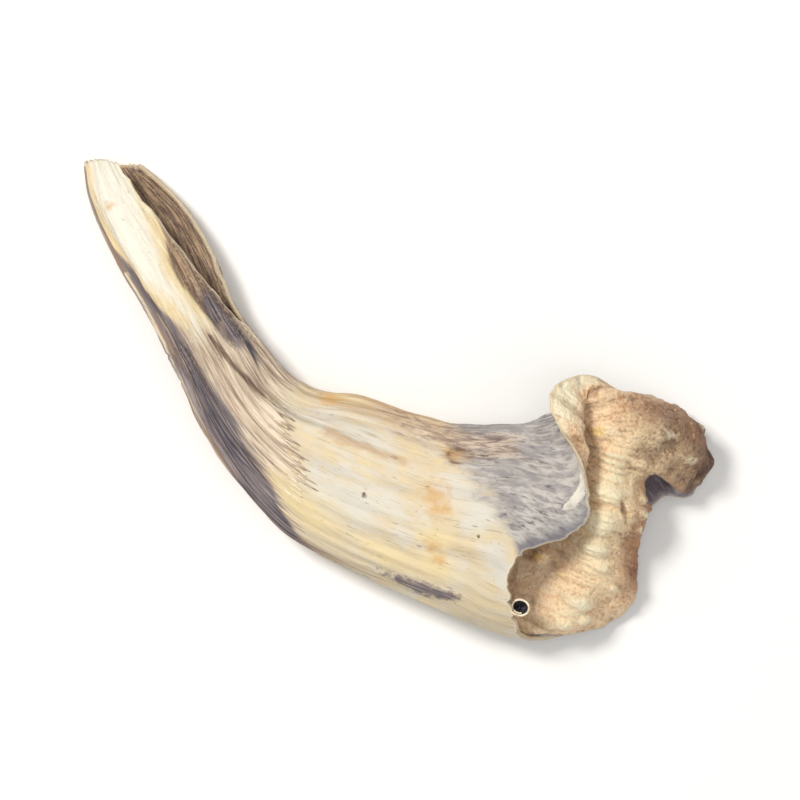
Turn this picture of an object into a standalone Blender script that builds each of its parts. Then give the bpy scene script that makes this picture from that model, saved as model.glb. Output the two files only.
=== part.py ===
# Dried black trumpet mushroom, lying on its side.
#
# One thin-walled fruit body: a bent hollow stem that is torn open along its upper side,
# widens into a flattened bell, and ends in a torn front wall and a wavy, rolled-back lip.
# +X runs from the cut stem end to the lip, +Z is up, and the body rests on z = 0.

import math

import bmesh
import bpy
import numpy as np

# Driving dimensions, in metres
LENGTH = 0.0676  # cut stem end to the furthest lobe of the lip
WALL = 0.00085  # dried flesh
EDGE_WALL = 0.75  # share of that thickness left at the free edge of the lip

# The tables below are in drawing units, in which the mushroom is this long
DRAWN_LENGTH = 67.6
UNIT = LENGTH / DRAWN_LENGTH

# Stations along the hollow body, stem end first. Each gives, for the middle of the wall, the
# plan position (x, y) of its two side edges and the heights of its underside and its top.
STATIONS = [
    # +y edge,      -y edge,        low, high
    ((-31.4, 5.0), (-35.6, 2.1), 0.25, 5.0),
    ((-28.8, 4.8), (-32.6, -0.4), 0.55, 5.8),
    ((-24.9, 4.0), (-28.6, -2.7), 1.1, 6.4),
    ((-20.6, 2.0), (-24.2, -4.6), 1.6, 6.9),
    ((-16.6, -0.4), (-19.8, -6.4), 1.8, 7.2),
    ((-12.6, -1.9), (-15.4, -8.7), 1.6, 7.6),
    ((-8.7, -3.0), (-10.8, -11.3), 1.1, 8.1),
    ((-5.0, -2.8), (-5.4, -13.3), 0.6, 8.6),
    ((-1.0, -0.7), (0.5, -14.6), 0.3, 9.0),
    ((3.8, 0.9), (6.5, -14.1), 0.25, 9.6),
    ((8.2, 2.8), (12.8, -12.8), 0.4, 10.3),
    ((12.2, 5.7), (17.6, -11.8), 0.8, 10.8),
]
SIDE_HEIGHT = 0.42  # height of the side edges, as a share of the way from low to high
LOW_ROUND = 0.85  # 1 is an ellipse, less is boxier

# The tear along the stem, on the side that faces up and +y
TEAR_SIDE = 2.0  # degrees round the section where its lower edge stays
TEAR_WIDTH = 75.0  # degrees that it gapes at the stem end
TEAR_END = 5.0  # station where it closes

# Ribs round the mouth, beyond the last station: degrees round the section (0 is the +y side,
# 90 the top), the crest of the lip, and its free edge.
RIM = [
    (2.0, (16.7, 12.7, 9.8), (18.9, 14.3, 5.8)),
    (12.0, (15.3, 11.7, 10.1), (14.9, 13.8, 8.5)),
    (22.0, (15.3, 10.1, 10.7), (13.2, 12.1, 10.6)),
    (32.0, (16.6, 8.7, 10.9), (12.9, 9.9, 12.2)),
    (42.0, (18.3, 7.4, 11.0), (14.8, 8.2, 13.0)),
    (51.0, (19.3, 5.9, 10.8), (18.0, 7.1, 12.7)),
    (61.0, (19.7, 3.9, 10.7), (21.2, 5.0, 11.6)),
    (74.0, (19.7, 1.3, 10.8), (22.7, 2.2, 11.0)),
    (87.0, (18.8, -1.0, 10.8), (21.8, -0.4, 10.8)),
    (98.0, (17.4, -3.4, 10.8), (19.6, -3.3, 10.8)),
    (114.0, (18.0, -6.0, 10.5), (20.0, -5.8, 10.5)),
    (130.0, (19.2, -8.4, 9.4), (21.6, -7.8, 9.5)),
    (150.0, (20.4, -10.0, 7.4), (23.3, -9.1, 7.5)),
    (168.0, (21.4, -10.6, 5.0), (24.4, -9.7, 5.4)),
    (184.0, (22.6, -10.4, 3.5), (25.5, -9.4, 3.9)),
    (198.0, (24.2, -9.3, 3.0), (27.0, -8.3, 3.0)),
    (212.0, (25.6, -7.3, 3.7), (28.6, -6.5, 2.0)),
    (230.0, (26.2, -4.8, 4.3), (30.5, -4.2, 1.3)),
    (248.0, (25.8, -2.0, 4.8), (31.3, -1.4, 1.2)),
    (266.0, (25.0, 0.6, 5.6), (30.1, 1.3, 1.3)),
    (284.0, (23.8, 3.3, 6.8), (28.3, 3.9, 2.0)),
    (300.0, (22.6, 5.8, 7.5), (27.2, 6.8, 2.4)),
    (314.0, (21.7, 8.0, 8.1), (28.0, 8.6, 2.2)),
    (325.0, (21.2, 9.8, 8.6), (29.8, 10.6, 1.4)),
    (334.0, (20.6, 11.2, 8.9), (29.6, 13.6, 0.0)),
    (343.0, (19.4, 12.3, 9.1), (26.6, 15.3, 0.0)),
    (352.0, (18.1, 12.8, 9.4), (22.5, 15.7, 2.3)),
]

# Long folds in the dried wall: degrees round the section, height, width in degrees, and the
# stations between which each runs. A negative height is a groove.
FOLDS = [
    (50.0, -0.8, 11.0, 4.4, 8.8),
    (72.0, 0.4, 10.0, 4.8, 9.6),
    (96.0, -0.3, 10.0, 3.6, 9.0),
    (122.0, 0.45, 11.0, 0.0, 7.0),
    (146.0, -0.4, 9.0, 0.5, 7.5),
    (164.0, 0.4, 10.0, 0.5, 9.5),
    (205.0, -0.35, 10.0, 1.0, 9.0),
    (238.0, -0.5, 13.0, 0.5, 7.0),
    (300.0, -0.5, 16.0, 1.0, 8.5),
    (330.0, 0.3, 11.0, 4.0, 10.5),
]

LOOK_BACK = 0.2  # stations behind the last one, from which its direction is read

# Mesh density
ROUND_STEPS = 60
ROWS_PER_STATION = 2
CREST_ROWS = 6
EDGE_ROWS = 5

FLESH_COLOUR = (0.56, 0.48, 0.36, 1)
FLESH_ROUGHNESS = 0.75


def spline(values, where):
    """Catmull-Rom curve through values, one for each whole number, read at where."""
    values = np.asarray(values, float)
    padded = np.concatenate([[2 * values[0] - values[1]], values, [2 * values[-1] - values[-2]]])
    start = np.clip(np.floor(where).astype(int), 0, len(values) - 2)
    step = (where - start).reshape(-1, *[1] * (values.ndim - 1))
    before, first, second, after = (padded[start + offset] for offset in range(4))
    return first + 0.5 * step * (
        second - before
        + step * (2 * before - 5 * first + 4 * second - after
                  + step * (3 * (first - second) + after - before))
    )


def hermite(first, leave, second, arrive, step):
    """Cubic curve from first to second with those end tangents, read at step."""
    return (
        first * (1 + 2 * step) * (1 - step) ** 2
        + second * step**2 * (3 - 2 * step)
        + leave * step * (1 - step) ** 2
        - arrive * step**2 * (1 - step)
    )


def round_spline(angles, values, where):
    """Closed cubic curve through values at the given angles, read at where, in degrees."""
    angles = np.concatenate([angles[-2:] - 360, angles, angles[:2] + 360])
    values = np.concatenate([values[-2:], values, values[:2]])
    slopes = (values[2:] - values[:-2]) / (angles[2:] - angles[:-2])[:, None]
    index = np.clip(np.searchsorted(angles, where % 360, side="right") - 1, 1, len(angles) - 3)
    width = (angles[index + 1] - angles[index])[:, None]
    step = (where % 360 - angles[index])[:, None] / width
    leave, arrive = width * slopes[index - 1], width * slopes[index]
    return hermite(values[index], leave, values[index + 1], arrive, step)


def fold_height(station, degrees):
    """How far the long folds push the wall outwards."""
    height = np.zeros_like(degrees)
    for centre, size, width, first, last in FOLDS:
        along = np.clip((station - first) / (last - first), 0, 1)
        turn = (degrees - centre + 180) % 360 - 180
        height += size * np.sin(math.pi * along) ** 2 * np.exp(-((turn / width) ** 2))
    return height


def body_row(station, degrees):
    """Points round the hollow body at one station: an ellipse with a boxier underside, folded."""
    flat = [(*plus, *minus, low, high) for plus, minus, low, high in STATIONS]
    plus_x, plus_y, minus_x, minus_y, low, high = spline(flat, np.array([station]))[0]
    turn = np.radians(degrees)
    half_x, half_y = (plus_x - minus_x) / 2, (plus_y - minus_y) / 2
    half = math.hypot(half_x, half_y)
    side = low + SIDE_HEIGHT * (high - low)
    rise = np.sin(turn)
    sink = (low - side) * np.abs(rise) ** LOW_ROUND
    lift = np.where(rise > 0, (high - side) * rise, sink)
    push = fold_height(station, degrees)
    across = np.cos(turn) * (1 + push / half)
    return np.stack(
        [
            (plus_x + minus_x) / 2 + half_x * across,
            (plus_y + minus_y) / 2 + half_y * across,
            side + lift + push * rise,
        ],
        axis=1,
    )


def tear_gape(station):
    """Degrees that the tear gapes at a station: widest at the stem end, nothing past its end."""
    return TEAR_WIDTH * max(0.0, 1 - (station / TEAR_END) ** 3)


def unit(vectors):
    return vectors / np.linalg.norm(vectors, axis=1, keepdims=True)


def lip_rows(start, ahead, crest, edge):
    """Rows from the last ring of the body up to the crest and down to the free edge.

    Each rib leaves the body in the direction ahead, and passes over the crest in the direction
    that halves its bend there.
    """
    reach = np.linalg.norm(crest - start, axis=1, keepdims=True)
    beyond = np.linalg.norm(edge - crest, axis=1, keepdims=True)
    over = unit(unit(crest - start) + unit(edge - crest))
    arrive = 2 * (edge - crest) - over * beyond
    rows = []
    for step in np.arange(1, CREST_ROWS + 1) / CREST_ROWS:
        rows.append(hermite(start, ahead * reach, crest, over * reach, step))
    for step in np.arange(1, EDGE_ROWS + 1) / EDGE_ROWS:
        rows.append(hermite(crest, over * beyond, edge, arrive, step))
    return rows


def wall_rows():
    """Rows of points over the whole sheet, from the stem end to the free edge of the lip."""
    share = np.linspace(0, 1, ROUND_STEPS + 1)
    last = len(STATIONS) - 1
    rows = []
    for station in np.linspace(0, last, last * ROWS_PER_STATION + 1):
        gape = tear_gape(station)
        rows.append(body_row(station, TEAR_SIDE + gape + share * (360 - gape)))
    closed = TEAR_SIDE + share * 360
    angles, crests, edges = (np.array(column) for column in zip(*RIM))
    crest = round_spline(angles, crests, closed)
    edge = round_spline(angles, edges, closed)
    ahead = unit(rows[-1] - body_row(last - LOOK_BACK, closed))
    return rows + lip_rows(rows[-1], ahead, crest, edge)


def flesh_share(row, row_count):
    """Full thickness over the body, thinner from the crest to the free edge."""
    past_crest = max(0, row + 1 + EDGE_ROWS - row_count) / EDGE_ROWS
    return 1 - (1 - EDGE_WALL) * past_crest


def build_sheet(name):
    """The middle surface of the wall, open along the tear and at both ends."""
    rows = wall_rows()
    mesh_data = bmesh.new()
    flesh = mesh_data.verts.layers.deform.verify()
    grid = [[mesh_data.verts.new(point * UNIT) for point in row] for row in rows]
    for number, row in enumerate(grid):
        for vert in row:
            vert[flesh][0] = flesh_share(number, len(grid))
    for near, far in zip(grid, grid[1:]):
        for left in range(ROUND_STEPS):
            mesh_data.faces.new((near[left], far[left], far[left + 1], near[left + 1]))
    bmesh.ops.remove_doubles(mesh_data, verts=mesh_data.verts, dist=1e-6)
    bmesh.ops.recalc_face_normals(mesh_data, faces=mesh_data.faces)
    mesh = bpy.data.meshes.new(name)
    mesh_data.to_mesh(mesh)
    mesh_data.free()
    mesh.shade_smooth()
    sheet = bpy.data.objects.new(name, mesh)
    sheet.vertex_groups.new(name="flesh")
    bpy.context.scene.collection.objects.link(sheet)
    return sheet


def add_wall(sheet):
    """Gives the sheet its flesh."""
    wall = sheet.modifiers.new("flesh", "SOLIDIFY")
    wall.thickness = WALL
    wall.offset = 0.0
    wall.vertex_group = "flesh"


def flatten_low_spots(mushroom):
    """Cuts the belly, the stem end and the drooping lobe flat where they touch the ground."""
    bpy.ops.mesh.primitive_cube_add(size=1)
    ground = bpy.context.object
    ground.name = "ground_cutter"
    ground.scale = (2 * LENGTH, 2 * LENGTH, LENGTH)
    ground.location = (0, 0, -LENGTH / 2)
    ground.hide_render = True
    ground.display_type = "WIRE"
    cut = mushroom.modifiers.new("rest", "BOOLEAN")
    cut.operation = "DIFFERENCE"
    cut.solver = "EXACT"
    cut.object = ground


def centre_in_plan(mushroom):
    """Moves the mushroom sideways so that its box is centred on the origin."""
    bpy.context.view_layer.update()
    solid = mushroom.evaluated_get(bpy.context.evaluated_depsgraph_get())
    for axis in (0, 1):
        sides = [corner[axis] for corner in solid.bound_box]
        mushroom.location[axis] = -(min(sides) + max(sides)) / 2


def dried_flesh():
    """Pale, matt, dry skin."""
    material = bpy.data.materials.new("dried_flesh")
    material.use_nodes = True
    shader = material.node_tree.nodes["Principled BSDF"]
    shader.inputs["Base Color"].default_value = FLESH_COLOUR
    shader.inputs["Roughness"].default_value = FLESH_ROUGHNESS
    shader.inputs["Metallic"].default_value = 0.0
    return material


def clear_scene():
    for obj in list(bpy.data.objects):
        bpy.data.objects.remove(obj)


def main():
    clear_scene()
    mushroom = build_sheet("trumpet_mushroom")
    mushroom.data.materials.append(dried_flesh())
    add_wall(mushroom)
    flatten_low_spots(mushroom)
    centre_in_plan(mushroom)


main()
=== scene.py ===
# Dried black trumpet mushroom on a plain pale floor: its skin, loose torn fibres and a rolled strip.
# Lengths are in millimetres in the tables and become metres when a mesh is made.

import math
from types import SimpleNamespace

import bpy
import numpy as np
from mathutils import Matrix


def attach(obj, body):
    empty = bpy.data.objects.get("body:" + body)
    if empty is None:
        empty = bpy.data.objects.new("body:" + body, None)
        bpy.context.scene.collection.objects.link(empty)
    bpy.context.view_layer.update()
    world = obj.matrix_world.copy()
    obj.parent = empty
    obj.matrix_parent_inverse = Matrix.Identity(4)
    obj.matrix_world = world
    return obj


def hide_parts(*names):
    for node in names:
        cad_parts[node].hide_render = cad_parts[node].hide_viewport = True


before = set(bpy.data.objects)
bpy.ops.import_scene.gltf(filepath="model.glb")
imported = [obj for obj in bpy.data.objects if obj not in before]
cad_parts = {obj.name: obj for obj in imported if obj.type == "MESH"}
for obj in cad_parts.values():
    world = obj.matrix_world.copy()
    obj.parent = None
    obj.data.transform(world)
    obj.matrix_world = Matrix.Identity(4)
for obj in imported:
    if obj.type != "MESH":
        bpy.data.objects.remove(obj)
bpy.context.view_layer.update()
print("frame loaded:", sorted(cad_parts))

mm = 0.001  # metres


def unit(vectors):
    # each vector divided by its own length
    return vectors / np.maximum(np.linalg.norm(vectors, axis=-1, keepdims=True), 1e-9)


def ease(value, low, high):
    # 0 below low, 1 above high, and 3t^2 - 2t^3 between them
    t = np.clip((value - low) / (high - low), 0, 1)
    return t * t * (3 - 2 * t)


def within(value, start, full, fading, end):
    # rises from 0 at start to 1 at full, and falls from fading to 0 at end
    return ease(value, start, full) * (1 - ease(value, fading, end))


def bump(value, centre, width):
    # a soft hill: exp(-((value - centre) / width)^2)
    return np.exp(-(((value - centre) / width) ** 2))


def turnFrom(degrees, centre):
    # shortest way round from centre, -180 to 180
    return (degrees - centre + 180) % 360 - 180


def onCircle(radius, degrees, height=0.0):
    # (radius cos, radius sin, height): where noise is read so that it closes round a section
    turn = np.radians(degrees)
    return np.stack([radius * np.cos(turn), radius * np.sin(turn), height + 0 * turn], axis=-1)


def cellValue(cells, seed):
    # a repeatable value from 0 to 1 for each whole-number cell: the fraction of a large sine
    turnPerStep, turnPerSeed, size = np.array([127.1, 311.7, 74.7]), 19.19, 43758.5453
    return (np.sin(cells @ turnPerStep + seed * turnPerSeed) * size) % 1


def softNoise(spots, seed):
    # -1 to 1: the eight corner values of a spot's cell, mixed by 3t^2 - 2t^3 along each axis
    cell = np.floor(spots)
    t = spots - cell
    t = t * t * (3 - 2 * t)
    total = 0
    for corner in np.ndindex(2, 2, 2):
        total += np.prod(np.where(corner, t, 1 - t), axis=-1) * cellValue(cell + corner, seed)
    return 2 * total - 1


def layeredNoise(spots, seed, layers=3, share=0.55):
    # each layer is twice as fine as the one before, and as high as its share of it
    return sum(softNoise(spots * 2**n, seed + n) * share**n for n in range(layers))


def curveAt(table, where):
    # value of a (place, value) table read at where, straight between its rows
    places, values = np.array(table, float).T
    return np.interp(where, places, values)


# The mushroom is one curled sheet. These are its outlines and how finely it is divided.
sheet = {
    "shift": (2.166, -0.501),  # from the drawing to the model's centre in plan
    # the middle of the wall: +y edge (x, y), -y edge (x, y), underside, top
    "stations": [
        ((-31.4, 5.0), (-35.6, 2.1), 0.25, 5.0),
        ((-28.8, 4.8), (-32.6, -0.4), 0.55, 5.8),
        ((-24.9, 4.0), (-28.6, -2.7), 1.1, 6.4),
        ((-20.6, 2.0), (-24.2, -4.6), 1.6, 6.9),
        ((-16.6, -0.4), (-19.8, -6.4), 1.8, 7.2),
        ((-12.6, -1.9), (-15.4, -8.7), 1.6, 7.6),
        ((-8.7, -3.0), (-10.8, -11.3), 1.1, 8.1),
        ((-5.0, -2.8), (-5.4, -13.3), 0.6, 8.6),
        ((-1.0, -0.7), (0.5, -14.6), 0.3, 9.0),
        ((3.8, 0.9), (6.5, -14.1), 0.25, 9.6),
        ((8.2, 2.8), (12.8, -12.8), 0.4, 10.3),
        ((12.2, 5.7), (17.6, -11.8), 0.8, 10.8),
    ],
    "sideHeight": 0.42,  # where the side edges lie between underside and top
    "lowRound": 0.85,
    "tearSide": 2.0,  # degrees at which the tear's lower edge and the sheet's seam lie
    "tearWidth": 75.0,  # degrees that the tear gapes at the stem end
    "tearEnd": 5.0,  # station where it closes
    "tearStep": 4.2,  # millimetres from station to station beside it
    "lookBack": 0.2,  # stations that a rib looks back to leave the last ring straight on
    # ribs round the mouth: degrees, crest of the lip, free edge
    "rim": [
        (2.0, (16.7, 12.7, 9.8), (18.9, 14.3, 5.8)),
        (12.0, (15.3, 11.7, 10.1), (14.9, 13.8, 8.5)),
        (22.0, (15.3, 10.1, 10.7), (13.2, 12.1, 10.6)),
        (32.0, (16.6, 8.7, 10.9), (12.9, 9.9, 12.2)),
        (42.0, (18.3, 7.4, 11.0), (14.8, 8.2, 13.0)),
        (51.0, (19.3, 5.9, 10.8), (18.0, 7.1, 12.7)),
        (61.0, (19.7, 3.9, 10.7), (21.2, 5.0, 11.6)),
        (74.0, (19.7, 1.3, 10.8), (22.7, 2.2, 11.0)),
        (87.0, (18.8, -1.0, 10.8), (21.8, -0.4, 10.8)),
        (98.0, (17.4, -3.4, 10.8), (19.6, -3.3, 10.8)),
        (114.0, (18.0, -6.0, 10.5), (20.0, -5.8, 10.5)),
        (130.0, (19.2, -8.4, 9.4), (21.6, -7.8, 9.5)),
        (150.0, (20.4, -10.0, 7.4), (23.3, -9.1, 7.5)),
        (168.0, (21.4, -10.6, 5.0), (24.4, -9.7, 5.4)),
        (184.0, (22.6, -10.4, 3.5), (25.5, -9.4, 3.9)),
        (198.0, (24.2, -9.3, 3.0), (27.0, -8.3, 3.0)),
        (212.0, (25.6, -7.3, 3.7), (28.6, -6.5, 2.0)),
        (230.0, (26.2, -4.8, 4.3), (30.5, -4.2, 1.3)),
        (248.0, (25.8, -2.0, 4.8), (31.3, -1.4, 1.2)),
        (266.0, (25.0, 0.6, 5.6), (30.1, 1.3, 1.3)),
        (284.0, (23.8, 3.3, 6.8), (28.3, 3.9, 2.0)),
        (300.0, (22.6, 5.8, 7.5), (27.2, 6.8, 2.4)),
        (314.0, (21.7, 8.0, 8.1), (28.0, 8.6, 2.2)),
        (325.0, (21.2, 9.8, 8.6), (29.8, 10.6, 1.4)),
        (334.0, (20.6, 11.2, 8.9), (29.6, 13.6, 0.0)),
        (343.0, (19.4, 12.3, 9.1), (26.6, 15.3, 0.0)),
        (352.0, (18.1, 12.8, 9.4), (22.5, 15.7, 2.3)),
    ],
    # long folds: degrees, height, width in degrees, first and last station
    "folds": [
        (50.0, -0.8, 11.0, 4.4, 8.8),
        (72.0, 0.4, 10.0, 4.8, 9.6),
        (96.0, -0.3, 10.0, 3.6, 9.0),
        (122.0, 0.45, 11.0, 0.0, 7.0),
        (146.0, -0.4, 9.0, 0.5, 7.5),
        (164.0, 0.4, 10.0, 0.5, 9.5),
        (205.0, -0.35, 10.0, 1.0, 9.0),
        (238.0, -0.5, 13.0, 0.5, 7.0),
        (300.0, -0.5, 16.0, 1.0, 8.5),
        (330.0, 0.3, 11.0, 4.0, 10.5),
    ],
    "bodyRows": 82,
    "crestRows": 45,
    "edgeRows": 37,
    "columns": 300,
    "lipDensity": 0.45,  # how much closer the columns stand on the lip's side
    "raggedTear": 2.6,  # degrees that the torn stem edges wander
    "raggedEnd": 0.09,  # stations that the cut stem end wanders
    "waveLip": 0.03,  # share of the lip's last part that its edge wanders
    "raggedLip": 0.16,  # and that it is torn back, between these degrees
    "tornLip": (48, 66, 160, 185),
    "grain": (7, 8),  # radius and lengthwise stretch of the grain that wrinkles and fibres follow
}

# a place is how far along the sheet a row lies: stations are 0 to 11, then come the crest and the edge
ringPlace = len(sheet["stations"]) - 1
crestPlace, edgePlace = ringPlace + 1, ringPlace + 2


def catmullRom(values, where):
    # b + t/2 (c - a + t (2a - 5b + 4c - d + t (3(b - c) + d - a))) between the values b and c
    values = np.asarray(values, float)
    padded = np.concatenate([[2 * values[0] - values[1]], values, [2 * values[-1] - values[-2]]])
    start = np.clip(np.floor(where).astype(int), 0, len(values) - 2)
    t = (where - start)[..., None]
    a, b, c, d = (padded[start + step] for step in range(4))
    return b + t / 2 * (c - a + t * (2 * a - 5 * b + 4 * c - d + t * (3 * (b - c) + d - a)))


def cubicJoin(first, leave, second, arrive, t):
    # cubic from first to second that sets off along leave and comes in along arrive
    return (
        first * (1 + 2 * t) * (1 - t) ** 2
        + second * t**2 * (3 - 2 * t)
        + leave * t * (1 - t) ** 2
        - arrive * t**2 * (1 - t)
    )


def closedCurve(angles, values, where):
    # the same cubic between neighbours of a closed ring, with slopes from the values on each side
    angles = np.concatenate([angles[-2:] - 360, angles, angles[:2] + 360])
    values = np.concatenate([values[-2:], values, values[:2]])
    slopes = (values[2:] - values[:-2]) / (angles[2:] - angles[:-2])[:, None]
    index = np.clip(np.searchsorted(angles, where % 360, side="right") - 1, 1, len(angles) - 3)
    width = (angles[index + 1] - angles[index])[..., None]
    t = (where % 360 - angles[index])[..., None] / width
    return cubicJoin(
        values[index], width * slopes[index - 1], values[index + 1], width * slopes[index], t
    )


def ringPoints(station, degrees):
    # an ellipse between the side edges: middle + half * cos(turn), height lifted by sin(turn),
    # with the underside's sine to the power lowRound, and the folds pushed outwards
    flat = [(*plus, *minus, low, high) for plus, minus, low, high in sheet["stations"]]
    plusX, plusY, minusX, minusY, low, high = np.moveaxis(catmullRom(flat, station), -1, 0)
    push = 0
    for centre, size, width, first, last in sheet["folds"]:
        share = np.clip((station - first) / (last - first), 0, 1)
        push = push + size * np.sin(math.pi * share) ** 2 * bump(turnFrom(degrees, centre), 0, width)
    turn = np.radians(degrees)
    halfX, halfY = (plusX - minusX) / 2, (plusY - minusY) / 2
    side = low + sheet["sideHeight"] * (high - low)
    rise = np.sin(turn)
    lift = np.where(rise > 0, (high - side) * rise, (low - side) * np.abs(rise) ** sheet["lowRound"])
    across = np.cos(turn) * (1 + push / np.hypot(halfX, halfY))
    return np.stack(
        [
            (plusX + minusX) / 2 + halfX * across,
            (plusY + minusY) / 2 + halfY * across,
            side + lift + push * rise,
        ],
        axis=-1,
    )


def lipPoints(closed, notch, crestStep, edgeStep):
    # each rib leaves the last ring straight on, passes over its crest along the line that halves
    # the bend there, and ends at the free edge; notch shortens the last part
    angles, crests, edges = (np.array(column) for column in zip(*sheet["rim"]))
    crest, edge = closedCurve(angles, crests, closed), closedCurve(angles, edges, closed)
    start = ringPoints(np.full_like(closed, ringPlace), closed)
    ahead = unit(start - ringPoints(np.full_like(closed, ringPlace - sheet["lookBack"]), closed))
    reach = np.linalg.norm(crest - start, axis=-1, keepdims=True)
    beyond = np.linalg.norm(edge - crest, axis=-1, keepdims=True)
    over = unit(unit(crest - start) + unit(edge - crest))
    up = cubicJoin(start, ahead * reach, crest, over * reach, crestStep[:, None, None])
    t = (edgeStep[:, None] * (1 - notch * edgeStep[:, None]))[..., None]
    down = cubicJoin(crest, over * beyond, edge, 2 * (edge - crest) - over * beyond, t)
    return up, down


def columnShares():
    # share of the way round of each column: k + d / 2pi (1 - cos(2 pi k))
    k = np.linspace(0, 1, sheet["columns"])
    return k + sheet["lipDensity"] / (2 * math.pi) * (1 - np.cos(2 * math.pi * k))


def sheetGrid():
    # rows run from the stem end over the stations and the crest to the edge; columns run round from
    # the upper edge of the tear to its lower edge, which stand apart by 1 - (row / tearEnd)^3
    share = columnShares()
    rows = np.linspace(0, ringPlace, sheet["bodyRows"])[:, None]
    gape = sheet["tearWidth"] * np.maximum(0, 1 - (rows / sheet["tearEnd"]) ** 3)
    ragged = sheet["raggedTear"] * ease(sheet["tearEnd"] - rows, 0, 0.6)
    line = rows[..., None] * [3.0, 0.0, 0.0]
    upperEdge = sheet["tearSide"] + gape + ragged * layeredNoise(line, 3)
    lowerEdge = sheet["tearSide"] + 360 + ragged * layeredNoise(line, 9)
    degrees = upperEdge + share * (lowerEdge - upperEdge)
    endWander = sheet["raggedEnd"] * layeredNoise(onCircle(3, degrees[0]), 5)
    body = ringPoints(rows + endWander * (1 - ease(rows, 0, 1.2)), degrees)
    closed = sheet["tearSide"] + share * 360
    spots = onCircle(9, closed)
    notch = sheet["waveLip"] * (1 + layeredNoise(spots * 1.3, 21))
    notch += within(closed, *sheet["tornLip"]) * sheet["raggedLip"] * np.abs(layeredNoise(spots, 22))
    crestStep = np.arange(1, sheet["crestRows"] + 1) / sheet["crestRows"]
    edgeStep = np.arange(1, sheet["edgeRows"] + 1) / sheet["edgeRows"]
    up, down = lipPoints(closed, notch, crestStep, edgeStep)
    steps = np.concatenate([ringPlace + crestStep, crestPlace + edgeStep])[:, None]
    place = np.concatenate([rows * np.ones_like(closed), steps * np.ones_like(closed)])
    degrees = np.concatenate([degrees, np.tile(closed, (len(steps), 1))])
    torn = np.concatenate([rows[:, 0] < sheet["tearEnd"], np.zeros(len(steps), bool)])
    return np.concatenate([body, up, down]), place, degrees, torn


def outwardNormals(points, torn):
    # cross product of the steps round and along the grid; whole rings wrap round
    along = np.gradient(points, axis=0)
    around = np.gradient(points, axis=1)
    whole = ~torn
    around[whole, 0] = around[whole, -1] = (points[whole, 1] - points[whole, -2]) / 2
    along[whole, 0] = along[whole, -1] = (along[whole, 0] + along[whole, -1]) / 2
    return unit(np.cross(around, along))


def pathLengths(points, axis):
    # distance walked along the grid from its first row or column
    steps = np.linalg.norm(np.diff(points, axis=axis), axis=-1)
    start = np.zeros_like(np.take(steps, [0], axis=axis))
    return np.concatenate([start, np.cumsum(steps, axis=axis)], axis=axis)


def edgeDistance(points, place):
    # along: mean way from the stem end over the body, then each rib's own way over the lip;
    # distance: shortest of the ways to the stem end, to the lip's edge and round to a torn edge
    along, around = pathLengths(points, 0), pathLengths(points, 1)
    ringRow = sheet["bodyRows"] - 1
    onLip = along[ringRow:] - along[ringRow]
    along[: ringRow + 1] = along[: ringRow + 1].mean(axis=1, keepdims=True)
    along[ringRow:] = along[ringRow] + onLip
    toSides = np.minimum(around, around[:, -1:] - around)
    pastTear = np.maximum(0, place - sheet["tearEnd"]) * sheet["tearStep"]
    return np.minimum(np.minimum(along, along[-1] - along), np.hypot(toSides, pastTear)), along


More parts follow.
